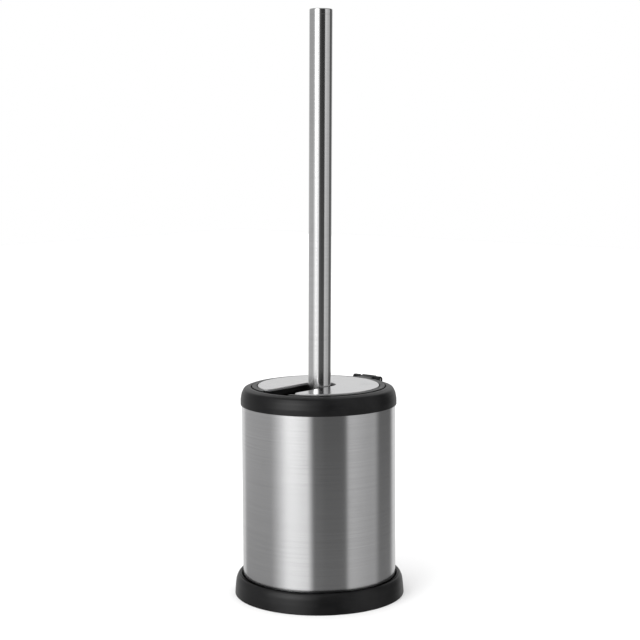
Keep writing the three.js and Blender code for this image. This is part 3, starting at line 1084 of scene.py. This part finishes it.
@dataclass
class Brush:
    """Brush that stands in the cup and leans back in the slot. Sizes are in millimetres."""

    steel: BrushedSteel = BrushedSteel("handle_steel", Grain.AROUND, colour=(0.76, 0.76, 0.76),
                                       roughness=0.155, line_width=0.12 * MM,
                                       line_depth=0.0006 * MM, anisotropy=0.92)
    plastic: MouldedPlastic = MouldedPlastic("brush_plastic", roughness=0.42)
    stud_steel: PlainSteel = PlainSteel("stud_steel")
    nylon: Nylon = Nylon("nylon_strands")
    handle_radius: float = 8.0
    handle_wall: float = 0.9
    handle_foot: float = 99.7
    cap_height: float = 4.0
    total_height: float = 407.9
    core_radius: float = 9.0
    core_foot: float = 20.0
    shoulder_radius: float = 24.0
    shoulder: float = 88.3
    neck_top: float = 96.0
    stud_radius: float = 3.0
    stud_ends: tuple[float, float] = (80.0, 111.7)
    middle: tuple[float, float, float] = (1.17, -1.35, 62.0)  # the leaning brush's axis goes through this
    bristle_radius: float = 37.2
    bristle_foot: float = 15.3
    bristle_top: float = 87.6
    tuft_rows: int = 17
    row_tufts: int = 17
    tuft_strands: int = 17
    strand_radius: float = 0.27
    domed_share: float = 0.30  # of the head's length, below which the tufts fan over its foot
    dome_height: float = 16.0
    seed: int = 7

    def __post_init__(self) -> None:
        """Works out the move that leans an upright brush."""
        to_middle = Matrix.Translation(Vector(self.middle) * MM)
        turn = Vector((0, 0, 1)).rotation_difference(BRUSH_AXIS).to_matrix().to_4x4()
        self.lean = to_middle @ turn @ Matrix.Translation((0, 0, -self.middle[2] * MM))

    def build(self) -> None:
        """Builds handle, plug, stud, core and bristles."""
        steel, plastic = self.steel.material(), self.plastic.material()
        pieces = [
            ("handle", "handle_tube", self._tube(), 96, Slot.HANDLE_STEEL, steel),
            ("handle_end", "handle_cap", self._cap(), 96, Slot.HANDLE_STEEL, steel),
            ("plug", "handle_plug", self._plug(), 96, Slot.DARK_PLASTIC, plastic),
            ("stud", "head_stud", self._stud(), 48, Slot.PLAIN_STEEL, self.stud_steel.material()),
            ("core", "brush_core", self._core(), 96, Slot.DARK_PLASTIC, plastic),
        ]
        for name, node, profile, steps, slot, material in pieces:
            made = to_object(turned(profile, steps).moved(self.lean), name)
            publish(made, Body.BRUSH, [node], slot, material)
        publish(self._bristles(), Body.BRUSH, ["bristles"], Slot.NYLON, self.nylon.material())

    def _tube(self) -> np.ndarray:
        """Handle tube, up to the joint with its end."""
        inner, outer = self.handle_radius - self.handle_wall, self.handle_radius
        top = self.total_height - self.cap_height - 0.03
        foot = self.handle_foot
        return rounded([(inner, foot, 0.1), (outer, foot, 0.25),
                        (outer, top, 0.07), (inner, top, 0.05)], True)

    def _cap(self) -> np.ndarray:
        """Flat end of the handle with a rounded edge."""
        joint_height = self.total_height - self.cap_height
        spigot = self.handle_radius - self.handle_wall - 0.05
        return rounded([
            (0, joint_height - 6, 0),
            (spigot, joint_height - 6, 0.4),
            (spigot, joint_height, 0),
            (self.handle_radius, joint_height, 0.07),
            (self.handle_radius, self.total_height, 0.9),
            (0, self.total_height, 0),
        ])

    def _plug(self) -> np.ndarray:
        """Plug in the handle's foot, with the collar that shows below it."""
        hole, outer = self.stud_radius + 0.1, self.handle_radius
        spigot = outer - self.handle_wall - 0.1
        collar_low, collar_high = self.neck_top + 0.1, self.handle_foot - 0.05
        return rounded([
            (hole, collar_low, 0.1),
            (outer, collar_low, 0.4),
            (outer, collar_high, 0.2),
            (spigot, collar_high, 0.1),
            (spigot, self.handle_foot + 16, 0.4),
            (hole, self.handle_foot + 16, 0.1),
        ], True)

    def _stud(self) -> np.ndarray:
        """Threaded stud: a row of ridges one pitch apart."""
        (bottom, top), pitch, end = self.stud_ends, 1.0, 2.2
        corners = [(0, bottom, 0), (end, bottom, 0.1)]
        for z in np.arange(bottom + 0.6, top - 0.7, pitch):
            corners += [(2.5, float(z), 0.08), (self.stud_radius, float(z) + pitch / 2, 0.08)]
        return rounded([*corners, (end, top, 0.1), (0, top, 0)])

    def _core(self) -> np.ndarray:
        """Shaft of the brush head, its shoulder disc and its neck."""
        hole, shoulder = self.stud_radius + 0.1, self.shoulder
        return rounded([
            (0, self.core_foot, 0),
            (self.core_radius, self.core_foot, 2.5),
            (self.core_radius, shoulder, 0.4),
            (self.shoulder_radius, shoulder, 0.4),
            (self.shoulder_radius, shoulder + 1.4, 0.5),
            (20.0, 91.0, 6.0),
            (10.2, 92.0, 1.6),
            (9.0, self.neck_top, 0.5),
            (hole, self.neck_top, 0.1),
            (hole, 78.0, 0.1),
            (0, 78.0, 0),
        ])

    def _bristles(self) -> bpy.types.Object:
        """Tufts of nylon strands set in rings round the core and over its foot.

        A tuft sits at the share s of the head's length. Its root lies on the core's side, or on the
        round of its foot for small s, and its tip lies on the outer shape, which is upright above and
        domed below. A strand runs from root to tip as root + t (tip - root), plus its own small random
        bend times t squared less t, and is a four-sided taper round that line.
        """
        random = np.random.default_rng(self.seed)
        rows, per_row, per_tuft, domed = self.tuft_rows, self.row_tufts, self.tuft_strands, self.domed_share
        s = np.linspace(0.0, 1.0, rows)
        foot = np.clip(s / domed, 0, 1) * (np.pi / 2)
        height = np.clip((s - domed) / (1 - domed), 0, 1)
        root_r = (self.core_radius - 0.6) * np.sin(foot)
        root_z = self.core_foot + 2.6 - 2.0 * np.cos(foot) + height * (self.shoulder - self.core_foot - 6.5)
        dome = self.bristle_radius - 4.0
        tip_r = np.where(s < domed, dome * np.sin(foot) ** 0.9 + np.sin(foot), self.bristle_radius)
        shoulder = self.bristle_foot + self.dome_height
        tip_z = np.where(s < domed, self.bristle_foot + self.dome_height * (1 - np.cos(foot)) ** 1.15,
                         shoulder + height * (self.bristle_top - shoulder - 1.5))
        tip_r = tip_r - 3.2 * np.clip((height - 0.88) / 0.12, 0, 1) ** 2
        tuft = np.arange(rows * per_row)
        row = tuft // per_row
        angle = (tuft % per_row + 0.5 * (row % 2)) * (2 * np.pi / per_row)
        strand = np.repeat(tuft, per_tuft)
        count = len(strand)
        angle, row = angle[strand], row[strand]
        spread = np.sqrt(random.random(count))
        swirl = random.random(count) * 2 * np.pi
        aside, along = spread * np.cos(swirl), spread * np.sin(swirl)
        outwards = np.stack([np.cos(angle), np.sin(angle), np.zeros(count)], 1)
        sideways = np.stack([-np.sin(angle), np.cos(angle), np.zeros(count)], 1)
        upwards = np.array([0.0, 0.0, 1.0])
        root = outwards * root_r[row][:, None] + upwards * root_z[row][:, None]
        tip = outwards * tip_r[row][:, None] + upwards * tip_z[row][:, None]
        reach = tip - root
        reach /= np.linalg.norm(reach, axis=1)[:, None]
        across = np.cross(reach, sideways)
        offset = sideways * aside[:, None] + across * along[:, None]
        fan = 2.6 + 2.6 * (tip_r[row] / self.bristle_radius)
        root = root + offset * 0.8
        tip = tip + offset * fan[:, None] * 0.8 - reach * (random.random(count) * 1.6)[:, None]
        bend = random.normal(0, 0.8, (count, 3)) * (tip_r[row] / self.bristle_radius)[:, None]
        t = np.array([0.0, 0.35, 0.7, 1.0])
        line = root[:, None] + (tip - root)[:, None] * t[None, :, None]
        line = line + bend[:, None] * (t ** 2 - t)[None, :, None]
        thick = self.strand_radius * np.array([1.0, 1.0, 0.95, 0.55])
        corner = np.arange(4) * (np.pi / 2)
        ring = sideways[:, None] * np.cos(corner)[None, :, None]
        ring = ring + across[:, None] * np.sin(corner)[None, :, None]
        points = line[:, :, None] + ring[:, None] * thick[None, :, None, None]
        radial = np.hypot(points[..., 0], points[..., 1])
        limit = self.bristle_radius / np.maximum(radial, self.bristle_radius)
        points[..., :2] *= limit[..., None]
        points[..., 2] = np.clip(points[..., 2], self.bristle_foot, self.bristle_top)
        levels = len(t)
        quads = grid_quads(levels, 4, False, True)
        starts = (np.arange(count) * levels * 4)[:, None, None]
        ends = np.array([[3, 2, 1, 0], [(levels - 1) * 4 + i for i in range(4)]])
        faces = np.concatenate([quads[None] + starts, ends[None] + starts], 1).reshape(-1, 4)
        shell = Shell(points.reshape(-1, 3) * MM, faces).outward().moved(self.lean)
        made = to_object(shell, "tufts")
        shade = np.repeat(random.random(count), levels * 4).astype(np.float32)
        made.data.attributes.new("strand_shade", "FLOAT", "POINT").data.foreach_set("value", shade)
        return made


# ---------------------------------------------------------------- studio


@dataclass(frozen=True)
class Card:
    """One upright card of the surround.

    Attributes:
        start: bearing where it begins, in degrees to the right of the camera.
        stop: bearing where it ends.
        upper: its brightness a little above the horizon.
        middle: its brightness a little below the horizon.
        lower: its brightness further down.
    """

    start: float
    stop: float
    upper: float
    middle: float
    lower: float


@dataclass
class Studio:
    """Pale floor, soft lights, surround and camera."""

    azimuth: float = math.radians(41.3)  # of the camera, from -Y towards +X
    distance: float = 1095.1 * MM
    height: float = 323.65 * MM
    sideways: float = 1.3 * MM
    tilt: float = math.radians(6.744)
    roll: float = math.radians(-0.28)
    lens: float = 88.76
    sensor: float = 36.0
    floor_size: float = 6.0
    lamp_angle: float = math.radians(100)
    lamp_energy: float = 2.65
    cards: tuple[Card, ...] = (
        Card(-180, -149, 0.85, 0.85, 0.70),
        Card(-141, -76, 0.43, 0.57, 0.30),
        Card(-48, -17, 1.05, 1.11, 1.04),
        Card(-8, 3, 0.06, 0.11, 0.29),
        Card(9, 40, 0.025, 0.07, 0.28),
        Card(45, 52, 0.82, 0.69, 0.55),
        Card(80, 92, 0.60, 0.52, 0.45),
        Card(102, 134, 0.11, 0.14, 0.29),
        Card(147, 180, 0.85, 0.85, 0.70),
    )
    ceiling: float = 0.32
    softbox_bearing: float = math.radians(-42)
    softbox_rise: float = math.radians(24)
    softbox_spread: tuple[float, float] = (math.radians(26), math.radians(6))
    softbox_light: float = 4.2

    def _axes(self) -> tuple[Vector, Vector]:
        """Directions from the object to the camera and to the camera's right, both level."""
        towards = Vector((math.sin(self.azimuth), -math.cos(self.azimuth), 0))
        right = Vector((math.cos(self.azimuth), math.sin(self.azimuth), 0))
        return towards, right

    def build(self) -> None:
        """Builds camera, floor, surround and lamp."""
        self._camera()
        self._floor()
        self._surround()
        self._lamp()
        bpy.context.scene.view_settings.view_transform = "Standard"

    def _camera(self) -> None:
        """Camera that looks slightly down and is rolled a little."""
        towards, right = self._axes()
        up = Vector((0, 0, 1))
        back = towards * math.cos(self.tilt) + up * math.sin(self.tilt)
        above = up * math.cos(self.tilt) - towards * math.sin(self.tilt)
        side = right * math.cos(self.roll) + above * math.sin(self.roll)
        above = above * math.cos(self.roll) - right * math.sin(self.roll)
        data = bpy.data.cameras.new("camera")
        data.lens, data.sensor_width = self.lens, self.sensor
        data.clip_start, data.clip_end = 0.01, 50.0
        camera = bpy.data.objects.new("camera", data)
        place = towards * self.distance + right * self.sideways + up * self.height
        turn = Matrix((side, above, back)).transposed()
        camera.matrix_world = Matrix.Translation(place) @ turn.to_4x4()
        bpy.context.scene.collection.objects.link(camera)
        bpy.context.scene.camera = camera

    def _floor(self) -> None:
        """Wide white floor that shows in no reflection."""
        half = self.floor_size / 2
        corners = [(-half, -half, 0), (half, -half, 0), (half, half, 0), (-half, half, 0)]
        mesh = bpy.data.meshes.new("floor")
        mesh.from_pydata(corners, [], [(0, 1, 2, 3)])
        floor = bpy.data.objects.new("floor", mesh)
        bpy.context.scene.collection.objects.link(floor)
        floor.visible_glossy = False
        material, graph = new_material("floor_white")
        tone = graph.noise((0.4, 0.4, 0.4), detail=2.0)
        principled(graph, {
            "Base Color": graph.blend(tone, (0.90, 0.90, 0.90), (0.93, 0.93, 0.93)),
            "Roughness": 0.9,
            "Specular IOR Level": 0.1,
        })
        mesh.materials.append(material)

    def _ramp(self, graph: Graph, bearing: Signal, level: str) -> Signal:
        """Brightness of the cards at one level, by bearing from 0 to 1. The ramp's greys are halved."""
        stops = [((edge + 180) / 360, getattr(card, level) / 2)
                 for card in self.cards for edge in (card.start, card.stop)]
        return graph.out(graph.add("ShaderNodeValToRGB", {"stops": stops}, {0: bearing})) * 2.0

    def _surround(self) -> None:
        """World of upright cards and one softbox, seen as plain white by the camera.

        The grey of a direction follows its bearing from the camera's bearing. It blends from the cards'
        upper to middle to lower brightness as the direction drops, and fades to the ceiling's grey high
        above and far below. The softbox adds a round patch of light that fades out towards its edge.
        """
        world = bpy.data.worlds.new("surround")
        bpy.context.scene.world = world
        world.use_nodes = True
        graph = Graph(world.node_tree)
        towards, right = self._axes()
        up = Vector((0, 0, 1))
        direction = graph.out(graph.add("ShaderNodeTexCoord"), "Generated")

        def along(axis: Vector) -> Signal:
            """Share of the direction that lies along axis."""
            return graph.out(graph.add("ShaderNodeVectorMath", {"operation": "DOT_PRODUCT"},
                                       {0: direction, 1: tuple(axis)}), "Value")

        bearing = along(right).arctan2(along(towards)) * (1 / (2 * math.pi)) + 0.5
        upper, centre, lower = (self._ramp(graph, bearing, level) for level in ("upper", "middle", "lower"))
        rise = along(up)
        above, below = rise.ease(-0.08, 0.06), 1 - rise.ease(-0.29, -0.18)
        cards = centre + (upper - centre) * above + (lower - centre) * below
        level = towards * math.cos(self.softbox_bearing) + right * math.sin(self.softbox_bearing)
        aim = level * math.cos(self.softbox_rise) + up * math.sin(self.softbox_rise)
        edge, core = (math.cos(angle) for angle in self.softbox_spread)
        softbox = along(aim).ease(edge, core) * self.softbox_light
        steep = rise.size().ease(0.45, 0.85)
        room = cards * (1 - steep) + steep * self.ceiling + softbox
        is_camera = graph.out(graph.add("ShaderNodeLightPath"), "Is Camera Ray")
        light = room * (1 - is_camera) + is_camera
        background = graph.add("ShaderNodeBackground", inputs={"Color": light, "Strength": 1.0})
        graph.add("ShaderNodeOutputWorld", inputs={"Surface": graph.out(background)})

    def _lamp(self) -> None:
        """Wide, soft light from overhead, which lights the floor but shows in no reflection."""
        data = bpy.data.lights.new("overhead", "SUN")
        data.angle, data.energy = self.lamp_angle, self.lamp_energy
        lamp = bpy.data.objects.new("overhead", data)
        lamp.visible_glossy = False
        bpy.context.scene.collection.objects.link(lamp)


def main() -> None:
    """Builds the studio and the sub-assemblies in order."""
    Studio().build()
    for assembly in (Tray(), Sleeve(), Collar(), Cup(), Lid(), Brush()):
        assembly.build()
        log.info("%s done", type(assembly).__name__)


if __name__ == "__main__":
    main()
